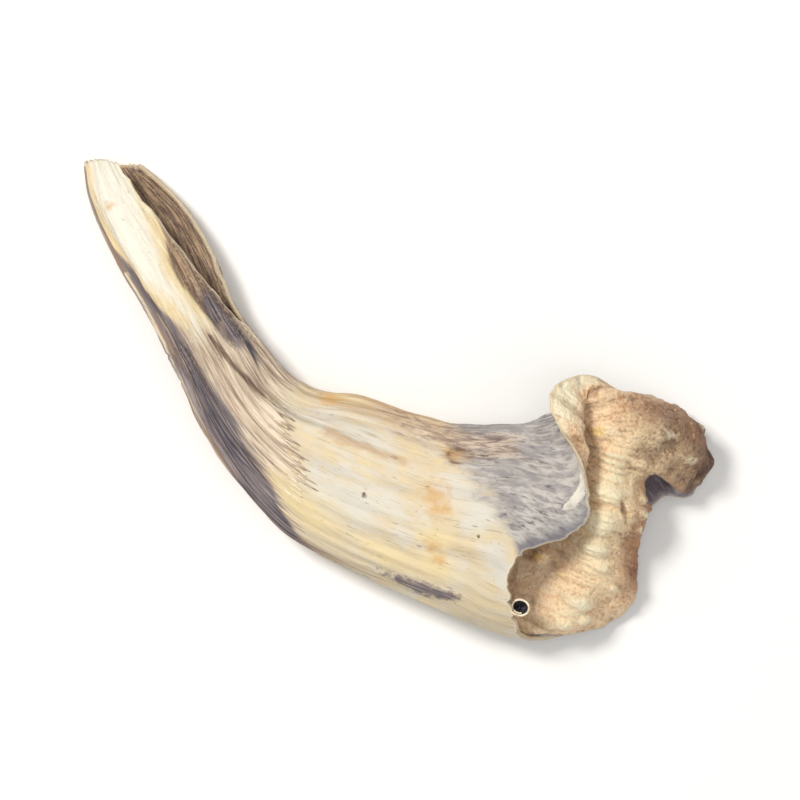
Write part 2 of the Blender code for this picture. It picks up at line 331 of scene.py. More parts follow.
# thicknesses, heights and spacings of the small relief
relief = {
    "wall": 0.8,  # thickness over the body
    "thinEdge": 0.4,  # thickness at free edges
    "thinWidth": 2.2,  # width over which the wall thins towards them
    "calmWidth": 0.6,  # width over which the relief dies out towards them
    "rimRound": 0.14,  # how far the rims between both faces stand out
    "innerLow": 0.22,  # lowest height of the inner face over the floor
    "rimLow": 0.02,  # and of the rims
    # outer face
    "longWrinkle": 0.2,
    "fineWrinkle": 0.07,
    "neckGrain": 0.1,
    "pucker": 0.12,
    "stepDepth": 0.4,
    "splitDepth": 0.3,
    "creaseRise": 0.18,
    "sliverRise": 0.28,
    "scarDepth": 0.1,
    "pinholeDepth": 0.07,
    # inner face
    "velvet": 0.06,
    "armLump": 0.34,
    "flapDrop": 0.25,
    "flapSink": 0.7,
    "fissure": 0.35,
    "radialFold": 0.17,
    "lipStep": (9.0, 5.0),  # millimetres for a place before the crest and past it
    "lipDegree": 0.165,  # and for a degree along it
    # degrees: middle of the ridge, the flank under it, the arm, the bare patch under the arm, the corner
    "ridgeMiddle": 268,
    "flankMiddle": 288,
    "armMiddle": 337,
    "flapMiddle": 320,
    "cornerMiddle": 25,
    # transverse bands over the ridge of the lip: height, spacing, middle and half width downhill
    "band": (0.26, 0.7, 0.1, 1.3),
    "flankBand": (0.16, 0.62, 3.2, 1.9),
    # height of the ridge along the crest of the lip, by degrees
    "ridge": [(0, 0.3), (30, 0.2), (60, 0), (190, 0), (206, 0.6), (225, 1.05), (262, 1.15), (290, 1.2),
              (306, 1.05), (320, 0.75), (345, 0.6), (360, 0.3)],
    # broad forms towards the inner face: degrees, place, height, width in degrees and in places
    "forms": [
        (339, 12.5, 1.2, 8, 0.45),
        (356, 12.35, -0.15, 9, 0.4),
        (314, 12.5, -1.0, 6, 0.5),
        (294, 12.45, 0.6, 8, 0.35),
        (277, 12.5, -0.4, 6, 0.4),
        (258, 12.45, 0.5, 8, 0.35),
        (236, 12.5, -0.45, 7, 0.4),
        (221, 12.4, 0.35, 6, 0.35),
        (25, 12.0, 0.7, 14, 0.4),
    ],
    # single knobs: degrees, downhill from the crest, half sizes round and downhill, height
    "knobs": [
        (336, -1.4, 0.9, 0.9, 0.6),
        (323, -0.3, 0.3, 0.7, 0.42),
        (319, -0.1, 0.32, 0.8, 0.5),
        (315, 0.0, 0.3, 0.7, 0.46),
        (311, 0.1, 0.34, 0.8, 0.5),
        (303, 0.0, 0.8, 0.9, 0.65),
        (287, -0.2, 1.1, 1.0, 0.75),
        (273, 0.0, 0.9, 0.9, 0.7),
        (262, 0.6, 0.5, 0.6, 0.4),
        (251, 2.1, 0.4, 0.45, 0.5),
        (236, 0.4, 0.7, 1.3, 0.75),
        (228, 1.8, 0.6, 0.6, 0.45),
        (220, 0.6, 0.5, 0.9, 0.5),
        (305, 2.7, 0.6, 0.5, 0.5),
        (297, 2.9, 0.7, 0.6, 0.6),
        (288, 3.0, 0.5, 0.5, 0.45),
        (248, -1.6, 0.25, 0.6, 0.5),
        (254, -3.5, 0.7, 0.6, 0.7),
        (272, -1.5, 0.22, 0.28, 0.3),
        (336, 1.5, 0.25, 0.45, 0.45),
        (331, 2.8, 0.3, 0.5, 0.4),
        (340, 3.5, 0.25, 0.5, 0.4),
        (349, 4.5, 0.25, 0.5, 0.4),
        (328, 4.6, 0.2, 0.4, 0.35),
    ],
    "cleft": ((12.16, 301), (12.3, 289), 0.18),  # a narrow cleft: its two ends and half width
}

# where the colours of the outer skin change, as rows of (place, degrees) or (degrees, place)
zones = {
    "step": 4.4,  # millimetres from station to station
    "bellStep": 4.6,  # and on the bell
    "stripLeft": [(0, 156), (1.4, 161), (2.0, 158), (2.7, 144), (3.4, 128), (4.0, 119), (5, 112)],
    "stripRight": [(0, 50), (1.25, 66), (2.4, 80), (2.75, 88), (3.2, 88), (3.8, 80), (4.25, 74), (5, 68)],
    "stripEnd": 4.3,
    "slateTop": [(0, 156), (1.4, 161), (2.0, 158), (2.7, 144), (3.4, 128), (4.0, 119), (5.0, 118),
                 (5.6, 114), (6.1, 112), (6.5, 118), (7.1, 124), (7.5, 134), (8.0, 150), (8.4, 168),
                 (9.0, 190), (13, 200)],
    "slateLow": [(0, 166), (2.5, 160), (3.5, 160), (4.6, 163), (5.3, 161), (6.0, 162), (7.0, 169),
                 (8.4, 175), (9.0, 178)],
    "bellStart": [(0, 6.9), (30, 6.4), (60, 6.3), (74, 6.6), (84, 7.2), (98, 7.45), (112, 7.35),
                  (124, 7.2), (136, 7.6), (150, 8.1), (165, 8.5), (200, 8.0), (260, 7.4), (330, 7.6),
                  (360, 6.9)],
    "ashStart": [(0, 9.9), (11, 9.75), (40, 9.95), (58, 10.2), (63, 10.5), (77, 10.9), (85, 11.2),
                 (92, 11.6), (99, 12.7), (110, 14), (200, 14), (225, 10.6), (290, 10.0), (360, 9.9)],
    "split": [(4.4, 87), (5.1, 81), (5.7, 72), (6.2, 69)],
    "crease": [(2.6, 160), (3.5, 161), (4.6, 164), (5.3, 162), (6.0, 163), (7.0, 170), (8.2, 175)],
    "vein": [(7.7, 67), (8.16, 66), (8.51, 64), (8.86, 64), (9.25, 66)],
    # where the pale skin of the bell frays over the neck
    "frayLine": [(60, 6.5), (66, 6.5), (74, 6.95), (87, 7.3), (98, 7.6), (107, 7.9), (124, 7.7)],
    # single marks: place, degrees, size
    "stain": [(9.95, 80, 0.95), (10.08, 87, 0.85), (10.2, 112, 0.55), (10.42, 120, 0.5),
              (7.4, 26, 0.8), (10.0, 48, 0.6), (1.2, 122, 0.35)],
    "sunned": [(7.5, 118, 1.5), (8.1, 124, 1.9), (9.5, 130, 1.3), (10.4, 126, 1.2), (7.5, 24, 1.2),
               (10.15, 106, 0.8)],
    "bleached": [(7.6, 52, 1.7), (8.2, 57, 1.7), (10.4, 74, 1.3), (10.9, 83, 1.4), (8.7, 101, 2.2),
                 (12.0, 108, 1.6), (12.6, 115, 1.3)],
    "scar": [(10.15, 49, 1.0)],
    "pinhole": [(8.86, 96, 0.26), (11.0, 99, 0.2), (10.15, 101, 0.16), (1.0, 104, 0.16), (2.2, 138, 0.14),
                (9.3, 64, 0.14), (7.9, 110, 0.13)],
    "weathered": [(8.8, 20, 1.0), (9.3, 24, 1.5), (9.8, 32, 2.0), (10.3, 38, 1.9), (10.7, 40, 1.2)],
    "bruise": [(10.0, 151, 0.7), (10.2, 150, 1.05), (10.48, 147, 1.0), (10.8, 144, 0.7)],
    "slatePatch": [(4.0, 60, 0.9), (4.6, 50, 1.0), (5.1, 43, 0.7)],
    # how many times longer than wide each kind of mark is
    "stretch": {"stain": 1.0, "sunned": 1.6, "bleached": 1.6, "weathered": 1.6, "bruise": 2.0},
    # a sliver of skin that has lifted at the ash end: its two ends and half width; millimetres for
    # a place and a degree there
    "sliver": ((12.97, 53), (12.12, 71), 0.55),
    "sliverStep": (2.1, 0.25),
}


def alongSliver(place, degrees, ends, stride):
    # lead of a pointed sliver between two ends: half width (1 - (2t - 1)^2) less the distance to
    # its middle line; stride holds the millimetres for a place and for a degree
    (firstPlace, firstTurn), (lastPlace, lastTurn), half = ends
    x, y = (place - firstPlace) * stride[0], turnFrom(degrees, firstTurn) * stride[1]
    endX, endY = (lastPlace - firstPlace) * stride[0], (lastTurn - firstTurn) * stride[1]
    length = math.hypot(endX, endY)
    t = (x * endX + y * endY) / length**2
    across = (x * endY - y * endX) / length
    return np.maximum(half * (1 - (2 * t - 1) ** 2) - np.abs(across), -2), across


def paintOuter(place, degrees, fromEdge):
    # signed leads in millimetres, above zero inside each zone; the shader frays them with noise;
    # a degree is the half width of the section times pi / 180
    turn, step = degrees % 360, zones["step"]
    halves = [math.hypot(a[0] - b[0], a[1] - b[1]) / 2 for a, b, *_ in sheet["stations"]]
    perDegree = np.interp(place, np.arange(len(halves)), halves) * math.pi / 180

    def nearest(name, stretch=1.0):
        # smallest distance to any of the spots, each divided by that spot's size
        spotPlace, spotTurn, size = np.array(zones[name]).T[:, :, None, None]
        lengths, widths = (place - spotPlace) * step / stretch, turnFrom(degrees, spotTurn) * perDegree
        return np.min(np.hypot(lengths, widths) / size, axis=0)

    def fromCurve(name):
        # distance from a line that runs over the skin
        table = zones[name]
        beyond = np.maximum(0, np.maximum(table[0][0] - place, place - table[-1][0])) * step
        return np.hypot(beyond, turnFrom(degrees, curveAt(table, place)) * perDegree)

    def ahead(name, length):
        # how far past a line that runs round the section
        return (place - curveAt(zones[name], turn)) * length

    leftLead = (curveAt(zones["stripLeft"], place) - turn) * perDegree
    rightLead = (turn - curveAt(zones["stripRight"], place)) * perDegree
    sliver, acrossSliver = alongSliver(place, degrees, zones["sliver"], zones["sliverStep"])
    top, low = curveAt(zones["slateTop"], place), curveAt(zones["slateLow"], place)
    slateLead = np.minimum(turn - top, low - turn) * perDegree
    return {
        **{name: 1 - nearest(name, stretch) for name, stretch in zones["stretch"].items()},
        **{name: fromCurve(name) for name in ("crease", "vein", "split")},
        "strip": np.minimum(leftLead, rightLead),
        "stripFade": (zones["stripEnd"] - place) * sheet["tearStep"],
        "beside": np.minimum(-rightLead, (4.35 - place) * step),
        "bell": ahead("bellStart", zones["bellStep"]),
        "ash": ahead("ashStart", zones["bellStep"]),
        "slate": np.maximum(slateLead, 1.2 * (1 - nearest("slatePatch", 2.0))),
        "side": within(turn, 153, 160, 196, 215) * (1 - ease(place, 8.2, 10.0)),
        "fray": within(turn, 58, 66, 104, 120),
        "frayLead": np.clip(ahead("frayLine", step), -6, 6),
        "topShade": bump(turnFrom(degrees, 6), 0, 15) * ease(place, 9.6, 10.4) * ease(place, 12.6, 12.2),
        "tan": bump(turnFrom(degrees, 14), 0, 26) * ease(place, 6.5, 7.6) * ease(place, 11.4, 10.4),
        "scar": nearest("scar"),
        "scarEdge": 0.24 - np.abs(nearest("scar") - 0.92) - 0.6 * ease(place, 10.1, 10.35),
        "pinhole": nearest("pinhole"),
        "fold": sliver,
        "foldShade": np.maximum(sliver + 0.25 - np.abs(acrossSliver + 0.3), -2),
        "rimShade": bump(turnFrom(degrees, 85), 0, 16) - fromEdge,
    }


def outerRelief(place, degrees, grain, paint):
    # heights in millimetres: wall moves both faces outwards, outer its own face; wrinkles are noise
    # that runs lengthwise, puckers at the ash end run more across, a mark is a soft hill or hollow
    onBody, onNeck = 1 - ease(place, 10.8, 11.8), within(place, 3.2, 4.8, 6.2, 8.0)
    wall = relief["longWrinkle"] * layeredNoise(grain * 1.1, 1) * (0.35 + 0.45 * onBody + 0.5 * onNeck)
    outer = relief["fineWrinkle"] * layeredNoise(grain * [2.4, 2.4, 1.8], 7) * (1 + onNeck)
    outer += relief["neckGrain"] * onNeck * layeredNoise(grain * [4.2, 4.2, 1.6], 19, 2)
    puckers = grain * [1, 1, 0.4 * sheet["grain"][1]]
    outer += relief["pucker"] * ease(paint["ash"], -1, 1.5) * layeredNoise(puckers * 1.4, 12)
    stepTurn = turnFrom(degrees, curveAt(zones["stripRight"], place) - 5)
    outer -= relief["stepDepth"] * bump(stepTurn, 0, 5) * within(place, 1.9, 2.9, 4.4, 5.2)
    outer -= relief["splitDepth"] * bump(paint["split"], 0, 0.35)
    outer += relief["creaseRise"] * bump(paint["crease"], 0, 0.35)
    outer += relief["sliverRise"] * ease(paint["fold"], -0.1, 0.2)
    outer -= relief["scarDepth"] * bump(paint["scar"], 0.9, 0.3)
    outer -= relief["pinholeDepth"] * bump(paint["pinhole"], 0, 0.9)
    return wall, outer


def lipRidge(place, degrees, downhill):
    # the ridge along the crest, a soft hill across it, and the broad forms, soft hills both ways
    ridge = curveAt(relief["ridge"], degrees % 360) * bump(downhill, 0, np.where(downhill < 0, 1.6, 2.0))
    for centre, middlePlace, height, width, length in relief["forms"]:
        ridge += height * bump(turnFrom(degrees, centre), 0, width) * bump(place, middlePlace, length)
    return ridge


def ridgeBands(ahead, downhill, height, spacing, middle, width, seed):
    # |cos(pi phase)|^0.7 over the way round the lip, so round backs with sharp clefts between
    # them, each back with its own height, under the hill exp(-((downhill - middle) / width)^2)
    spots = np.stack([ahead / spacing, downhill * 0.3, 0 * ahead], axis=-1)
    phase = ahead / spacing + 0.45 * layeredNoise(spots * 0.6, seed, 2)
    cells = np.stack([np.floor(phase + 0.5), 0 * phase, 0 * phase], axis=-1)
    share = 0.45 + 0.55 * cellValue(cells, seed)
    return height * share * np.abs(np.cos(math.pi * phase)) ** 0.7 * bump(downhill, middle, width)


def singleKnobs(degrees, downhill):
    # highest: the highest knob at each point, each 0.55 of a round dome and 0.45 of a flat-topped
    # hill; paint: the sum of soft hills over all knobs
    highest = paint = 0
    for centre, middle, width, length, height in relief["knobs"]:
        beside = turnFrom(degrees, centre) * relief["lipDegree"] / width
        away = np.hypot(beside, (downhill - middle) / length)
        dome = np.sqrt(np.maximum(0, 1 - (away / 1.15) ** 2))
        highest = np.maximum(highest, height * (0.55 * dome + 0.45 * (1 - ease(away, 0.3, 1.4))))
        paint = paint + height * bump(away, 0, 0.8)
    return highest, paint


def barePatch(place, degrees, fromEdge):
    # lead of the bare slate patch under the arm: the smallest of the distances from the ridge beside
    # it, from the arm above it and from its far end, or a thin strip along the arm's lower edge
    fromFlap = turnFrom(degrees, relief["flapMiddle"])
    besideRidge = (place - 12.44 + 0.016 * fromFlap) * 5
    underArm = (1 - fromFlap + 8 * np.maximum(place - 12.75, 0)) * 0.2
    patch = np.minimum(np.minimum(besideRidge, underArm), (fromFlap + 15) * 0.2)
    strip = 1.2 - fromEdge - 0.09 * np.abs(fromFlap - 1) - 3 * ease(fromFlap, 9, 14)
    return np.maximum(np.maximum(patch, np.where(np.abs(fromFlap) < 20, strip, -2)), -2)


def creamCorner(place, degrees, fromEdge):
    # lead of the cream corner: 2 less the distance from its middle, then a thin strip along the edge
    fromCorner = turnFrom(degrees, relief["cornerMiddle"])
    past = ease(fromCorner, 11, 19)
    corner = 2.0 - np.hypot((place - edgePlace) * 3.6, fromCorner * 0.105)
    strip = 0.7 * (1 - ease(fromCorner, 17, 29)) - fromEdge - 2 * (1 - past)
    return np.where(degrees % 360 < 180, np.maximum(corner * (1 - past) - past, strip), -3)


def mushroomRelief(points, place, degrees, fromEdge, along):
    # heights in millimetres: wall moves both faces outwards, outer and inner are their own
    radius, stretch = sheet["grain"]
    grain = onCircle(radius, degrees, along / stretch)
    paint = paintOuter(place, degrees, fromEdge)
    wall, outer = outerRelief(place, degrees, grain, paint)
    paint["raised"] = outer + wall

    # the lip has its own measures: the way ahead along its crest and the way downhill from it
    crestLine = points[sheet["bodyRows"] + sheet["crestRows"] - 1]
    ahead = pathLengths(crestLine, 0) * np.ones_like(place)
    pastCrest = place - crestPlace
    downhill = pastCrest * np.where(pastCrest < 0, *relief["lipStep"])
    lipSpots = crestLine + downhill[..., None] * [0.0, 0.0, 0.22]
    frill = np.where((place > 10.8)[..., None], lipSpots + [0, 0, 40], grain)
    onLip = ease(place, 10.8, 11.7)
    onArm = bump(turnFrom(degrees, relief["armMiddle"]), 0, 17) * ease(place, 11.9, 12.3)
    fromRidge = np.abs(turnFrom(degrees, relief["ridgeMiddle"]))
    fromFlank = np.abs(turnFrom(degrees, relief["flankMiddle"]))
    onRidge = 1 - ease(fromRidge, 58, 80)

    bands = onRidge * ridgeBands(ahead, downhill, *relief["band"], 33)
    bands += (1 - ease(fromRidge, 75, 90)) * ridgeBands(ahead, downhill, *relief["flankBand"], 41)
    knobs, knobPaint = singleKnobs(degrees, downhill)
    flap = barePatch(place, degrees, fromEdge)
    sunk = ease(flap, -0.15, 0.45)
    cleft, _ = alongSliver(place, degrees, relief["cleft"], (relief["lipStep"][1], relief["lipDegree"]))
    inner = relief["velvet"] * layeredNoise(points / 0.5, 37)
    inner += (0.35 + onArm) * onLip * relief["armLump"] * layeredNoise(points / 1.6, 51)
    inner += onLip * relief["radialFold"] * layeredNoise(lipSpots * 1.6, 31) + bands + knobs
    inner -= relief["flapDrop"] * sunk + relief["fissure"] * ease(cleft, -0.25, 0.2)
    innerPaint = {
        "raised": inner - wall * (1 - onLip),
        # where the painted highlight on the knobs goes
        "knobHighlight": knobPaint,
        "ridge": onRidge * bump(downhill, 0.4, 2.0),
        "arm": onArm,
        "corner": creamCorner(place, degrees, fromEdge),
        "tail": 1.6 - np.hypot((place - 12.9) * 3.2, turnFrom(degrees, 195) * 0.16),
        # where painted shade darkens the ridge's right flank
        "flank": ease(downhill, 0.9, 2.6) * (1 - ease(fromFlank, 26, 42)),
        "flap": flap,
        "cleft": cleft,
    }
    flapSink = relief["flapSink"] * sunk * ease(fromEdge, 0.3, 3.0)
    wall = wall - lipRidge(place, degrees, downhill) + flapSink
    return wall, outer, inner, grain, frill, paint, innerPaint


def makePiece(name, points, faces):
    # a smooth mesh from points in millimetres, as they are drawn, and four-cornered faces
    mesh = bpy.data.meshes.new(name)
    mesh.from_pydata((points + [*sheet["shift"], 0]) * mm, [], faces.tolist())
    mesh.shade_smooth()
    piece = bpy.data.objects.new(name, mesh)
    bpy.context.scene.collection.objects.link(piece)
    return piece


def gridFaces(numbers):
    # four-cornered faces between the neighbours of a grid of point numbers
    corners = [numbers[:-1, :-1], numbers[:-1, 1:], numbers[1:, 1:], numbers[1:, :-1]]
    return np.stack(corners, axis=-1).reshape(-1, 4)


def bordersOf(torn, rows, columns):
    # rows and columns of the sheet's open borders: down the lower torn edge, round the stem end and
    # back up the upper torn edge; and round the lip
    tear, across = int(torn.sum()), np.arange(columns)
    stemRow = np.concatenate([np.arange(tear, 0, -1), 0 * across, np.arange(1, tear)])
    stemColumn = np.concatenate([np.full(tear, columns - 1), across[::-1], np.zeros(tear - 1, int)])
    return (stemRow, stemColumn), (np.full(columns - 1, rows - 1), across[:-1])


def roundedRim(border, grids, index, innerIndex, first):
    # points halfway between both faces and rimRound outwards from there, numbered from first, and
    # the faces that join them to both; each point comes with its way outwards, its normal and turn
    row, column = border
    points, degrees, torn, normals, outer, inner = grids
    rows, columns = index.shape
    insideColumn = column if row[0] == rows - 1 else np.clip(column, 1, columns - 2)
    away = unit(points[row, column] - points[np.clip(row, 1, rows - 2), insideColumn])
    away[row == torn.sum()] = 0
    bead = (outer[row, column] + inner[row, column]) / 2 + away * relief["rimRound"]
    bead[:, 2] = np.maximum(bead[:, 2], relief["rimLow"])
    number = first + np.arange(len(row))
    pairs = ((index[row, column], number), (number, innerIndex[row, column]))
    faces = [np.stack([one, np.roll(one, -1), np.roll(two, -1), two], axis=-1) for one, two in pairs]
    return (bead, away, normals[row, column], degrees[row, column] % 360), faces


def buildMushroom():
    # each face is the sheet moved along its normals by half its thickness and the face's relief
    points, place, degrees, torn = sheetGrid()
    normals = outwardNormals(points, torn)
    fromEdge, along = edgeDistance(points, place)
    reliefs = mushroomRelief(points, place, degrees, fromEdge, along)
    wall, outerHeight, innerHeight, grain, frill, paint, innerPaint = reliefs
    print("relief worked out")

    thinnest, calm = relief["thinEdge"] / 2, ease(fromEdge, 0, relief["calmWidth"])
    half = thinnest + (relief["wall"] / 2 - thinnest) * ease(fromEdge, 0, relief["thinWidth"])
    middle = points + normals * wall[..., None]
    outer = middle + normals * (half + outerHeight * calm)[..., None]
    inner = middle - normals * (half + innerHeight * calm)[..., None]
    outer[..., 2] = np.maximum(outer[..., 2], 0)
    inner[..., 2] = np.maximum(inner[..., 2], relief["innerLow"])

    # whole rings share one column, so the seam closes by index
    rows, columns = place.shape
    index = np.arange(rows * columns).reshape(rows, columns)
    index[~torn, -1] = index[~torn, 0]
    innerIndex = index + rows * columns
    for side in (outer, inner):
        side[~torn, 0] = side[~torn, -1] = (side[~torn, 0] + side[~torn, -1]) / 2
    borders = bordersOf(torn, rows, columns)
    rims, rimFaces, count = [], [], 2 * rows * columns
    grids = (points, degrees, torn, normals, outer, inner)
    for border in borders:
        rim, faces = roundedRim(border, grids, index, innerIndex, count)
        rims.append(rim)
        rimFaces += faces
        count += len(rim[0])
    outerFaces, innerFaces = gridFaces(index), gridFaces(innerIndex)[:, ::-1]
    used, faces = np.unique(np.concatenate([outerFaces, innerFaces, *rimFaces]), return_inverse=True)
    faces = faces.reshape(-1, 4)
    beads = [rim[0] for rim in rims]
    allPoints = np.concatenate([outer.reshape(-1, 3), inner.reshape(-1, 3), *beads])[used]
    skin = makePiece("mushroom_skin", allPoints, faces)
    onInside = (np.arange(len(faces)) >= len(outerFaces)).astype(np.int32)
    skin.data.polygons.foreach_set("material_index", onInside)

    def store(name, kind, slot, outerValues, innerValues):
        # one value for each vertex: outer grid, inner grid, then the rims from the outer grid
        flat = [outerValues.reshape(rows * columns, -1), innerValues.reshape(rows * columns, -1)]
        flat += [outerValues[row, column].reshape(len(row), -1) for row, column in borders]
        values = np.concatenate(flat)[used].astype(np.float32).ravel()
        skin.data.attributes.new(name, kind, "POINT").data.foreach_set(slot, values)

    zero = np.zeros_like(place)
    for leads in (paint, innerPaint):
        leads.update({"edge": fromEdge, "place": place})
    for name in {**paint, **innerPaint}:
        store(name, "FLOAT", "value", paint.get(name, zero), innerPaint.get(name, zero))
    store("grain", "FLOAT_VECTOR", "vector", grain, grain + [0, 0, 90])
    store("frill", "FLOAT_VECTOR", "vector", frill, frill)
    skin.data.update()
    print("mushroom skin:", len(faces) * 2, "triangles")
    return skin, {"outer": outer, "normals": normals, "rims": rims}


skin, shell = buildMushroom()


# loose fibres on the skin and along its torn edges, and the small rolled strip at the mouth
fibreSizes = {
    "seed": 11,
    "steps": 7,
    "thickness": 0.1,
    "frayed": 16,  # how many tips the bell's skin frays into over the neck
    "frayedLength": (0.9, 2.0),
    "frayedWidth": (0.18, 0.34),
    "frayedLift": 0.16,
    "torn": 70,  # how many fibres stand on the torn edges
    "tornLength": (0.15, 0.5),
    "tornWidth": (0.12, 0.3),
    "tornMouth": (58, 166),  # degrees between which the mouth's edge is torn
    "tornSides": 0.15,  # how many grow along the stem's tear, where its end has 1
    "endReach": 4,  # millimetres from the stem's tip that count as its end
}

curl = {
    "middle": (22.45, -7.7),
    "outside": 0.95,  # radius where the roll starts
    "inside": 0.62,  # and where it ends
    "start": 215.0,  # degrees round its middle where it leaves the torn edge
    "turns": 1.3,
    "low": 7.6,  # heights of its two ends
    "high": 9.4,
    "lean": (-0.06, 0.08),  # sideways for each millimetre up
    "thickness": 0.2,
    "steps": (96, 18),
}


def onSkin(place, degrees):
    # the outer face and its direction at a place and a turn, straight between the grid's points
    rowAt = place / ringPlace * (sheet["bodyRows"] - 1)
    columnAt = np.interp((degrees - sheet["tearSide"]) / 360, columnShares(), np.arange(sheet["columns"]))
    row, column = rowAt.astype(int), columnAt.astype(int)
    s, t = (rowAt - row)[..., None], (columnAt - column)[..., None]
    found = []
    for grid in (shell["outer"], shell["normals"]):
        low = grid[row, column] * (1 - t) + grid[row, column + 1] * t
        high = grid[row + 1, column] * (1 - t) + grid[row + 1, column + 1] * t
        found.append(low * (1 - s) + high * s)
    return found[0], unit(found[1])


def bladeMesh(name, groups):
    # each blade is a four-sided spindle along its path: half width w (1 - t)^0.7 and half
    # thickness h (1 - t)^0.5 at a share t of the way, closed at both ends
    points, faces, count = [], [], 0
    for path, up, width in groups:
        blades, steps = path.shape[:2]
        t = np.linspace(0, 0.985, steps)[None, :, None]
        side = unit(np.cross(np.gradient(path, axis=1), up)) * width[:, None, None] / 2 * (1 - t) ** 0.7
        thick = up * fibreSizes["thickness"] / 2 * (1 - t) ** 0.5
        ring = np.stack([path + side, path + thick, path - side, path - thick], axis=2)
        index = count + np.arange(blades * steps * 4).reshape(blades, steps, 4)
        nextOne = np.roll(index, -1, axis=2)
        walls = np.stack([index[:, :-1], index[:, 1:], nextOne[:, 1:], nextOne[:, :-1]], axis=-1)
        faces += [walls.reshape(-1, 4), index[:, 0], index[:, -1, ::-1]]
        points.append(ring.reshape(-1, 3))
        count += blades * steps * 4
    points = np.concatenate(points)
    points[:, 2] = np.maximum(points[:, 2], 0)
    return makePiece(name, points, np.concatenate(faces))


def makeFibres():
    random = np.random.default_rng(fibreSizes["seed"])
    t = np.linspace(0, 1, fibreSizes["steps"])
    # frayed skin: rooted on the bell, tips towards the stem and lifting as t^2
    number = fibreSizes["frayed"]
    line = zones["frayLine"]
    turn = np.linspace(line[0][0], line[-1][0], number) + random.normal(0, 0.7, number)
    root = curveAt(line, turn) + random.normal(0.1, 0.12, number)
    length = random.uniform(*fibreSizes["frayedLength"], number) / zones["step"]
    drift = random.normal(0, 0.8, number)
    base, up = onSkin(root[:, None] - length[:, None] * t, turn[:, None] + drift[:, None] * t**2)
    lift = random.uniform(0.1, 1.0, number)[:, None] * fibreSizes["frayedLift"] * t**2 - 0.02
    frayed = (base + up * lift[..., None], up, random.uniform(*fibreSizes["frayedWidth"], number))

    # torn edges: short fibres that leave the rim outwards and bend to one side as t^2
    bead, away, up, turn = (np.concatenate(parts) for parts in zip(*shell["rims"]))
    onStem = np.arange(len(bead)) < len(shell["rims"][0][0])
    firstTorn, lastTorn = fibreSizes["tornMouth"]
    torn = onStem | ((turn > firstTorn) & (turn < lastTorn))
    pastEnd = bead[:, 0] > bead[:, 0].min() + fibreSizes["endReach"]
    weight = torn * np.where(onStem & pastEnd, fibreSizes["tornSides"], 1.0)
    chosen = random.choice(len(bead), fibreSizes["torn"], replace=False, p=weight / weight.sum())
    bead, away, up = bead[chosen], away[chosen], up[chosen]
    number = len(chosen)
    sideways = np.cross(away, up)
    heading = away + sideways * random.normal(0, 0.8, (number, 1))
    heading += up * random.normal(0, 0.3, (number, 1))
    low, high = fibreSizes["tornLength"]
    length = low + (high - low) * random.random(number) ** 2.5
    way = unit(heading)[:, None] * (length[:, None] * t)[..., None]
    bend = up[:, None] * (random.normal(0, 0.25, (number, 1)) * length[:, None] * t**2)[..., None]
    path = bead[:, None] - away[:, None] * 0.15 + way + bend
    edges = (path, np.repeat(up[:, None], len(t), axis=1), random.uniform(*fibreSizes["tornWidth"], number))
    print("torn fibres:", fibreSizes["frayed"] + number)
    return bladeMesh("torn_fibres", [frayed, edges])


def makeCurl():
    # a scroll: radius runs from outside to inside as the turn goes on and closes to a point at the
    # bottom as up^0.3; height waves at both ends
    around, up = (np.linspace(0, 1, number) for number in curl["steps"])
    around, up = np.meshgrid(around, up, indexing="ij")
    turn = math.radians(curl["start"]) + around * curl["turns"] * 2 * math.pi
    radius = curl["outside"] + (curl["inside"] - curl["outside"]) * around**0.8
    wobble = 1 + 0.08 * np.sin(2 * turn + 1)
    radius = radius * wobble * (0.08 + 0.92 * up**0.3)
    high = curl["high"] + 0.12 * np.sin(turn) + 0.05 * np.sin(3 * turn) - 0.25 * around
    low = curl["low"] + 0.2 * np.sin(3 * turn + 1) + 0.4 * around
    z = low + (high - low) * up
    lift = z - curl["low"]
    x = curl["middle"][0] + radius * np.cos(turn) + curl["lean"][0] * lift
    y = curl["middle"][1] + radius * np.sin(turn) + curl["lean"][1] * lift
    points = np.stack([x, y, z], axis=-1).reshape(-1, 3)
    index = np.arange(x.size).reshape(x.shape)
    piece = makePiece("rolled_strip", points, gridFaces(index.T))
    wall = piece.modifiers.new("wall", "SOLIDIFY")
    wall.thickness, wall.offset = curl["thickness"] * mm, 0
    # the second material paints the roll's inside dark as its shade
    wall.material_offset = 1  # the inside takes the second material
    print("strip rolled up")
    return piece


looseFibres, rolledStrip = makeFibres(), makeCurl()


def linear(red, green, blue):
    # display colour (0 to 255) to light: ((c + 0.055) / 1.055)^2.4
    return (*(((c / 255 + 0.055) / 1.055) ** 2.4 for c in (red, green, blue)), 1)


def fill(node, inputs):
    # each input is given its value, or a link if the value is another node's output
    for slot, value in inputs.items():
        if isinstance(value, bpy.types.NodeSocket):
            node.id_data.links.new(value, node.inputs[slot])
        else:
            node.inputs[slot].default_value = value
    return node


def put(kind, inputs, tree=None, **settings):
    # a new node in the tree that is named, or else in the one its inputs come from
    linked = [value for value in inputs.values() if isinstance(value, bpy.types.NodeSocket)]
    made = (tree or linked[0].id_data).nodes.new(kind)
    for name, value in settings.items():
        setattr(made, name, value)
    return fill(made, inputs)


def calc(operation, *values):
    return put("ShaderNodeMath", dict(enumerate(values)), operation=operation).outputs["Value"]


def times(first, *others):
    # first * second * third and so on
    for other in others:
        first = calc("MULTIPLY", first, other)
    return first


def plus(base, extra, share):
    # base + share * extra
    return calc("MULTIPLY_ADD", extra, share, base)


def shaken(lead, pattern, reach):
    # lead + reach * (pattern - 0.5)
    return plus(lead, calc("SUBTRACT", pattern, 0.5), reach)


def ramp(value, low, high):
    # 0 below low and 1 above high, or the other way round where low is the larger
    inputs = {"Value": value, "From Min": low, "From Max": high}
    made = put("ShaderNodeMapRange", inputs, interpolation_type="SMOOTHSTEP", clamp=True)
    return made.outputs["Result"]


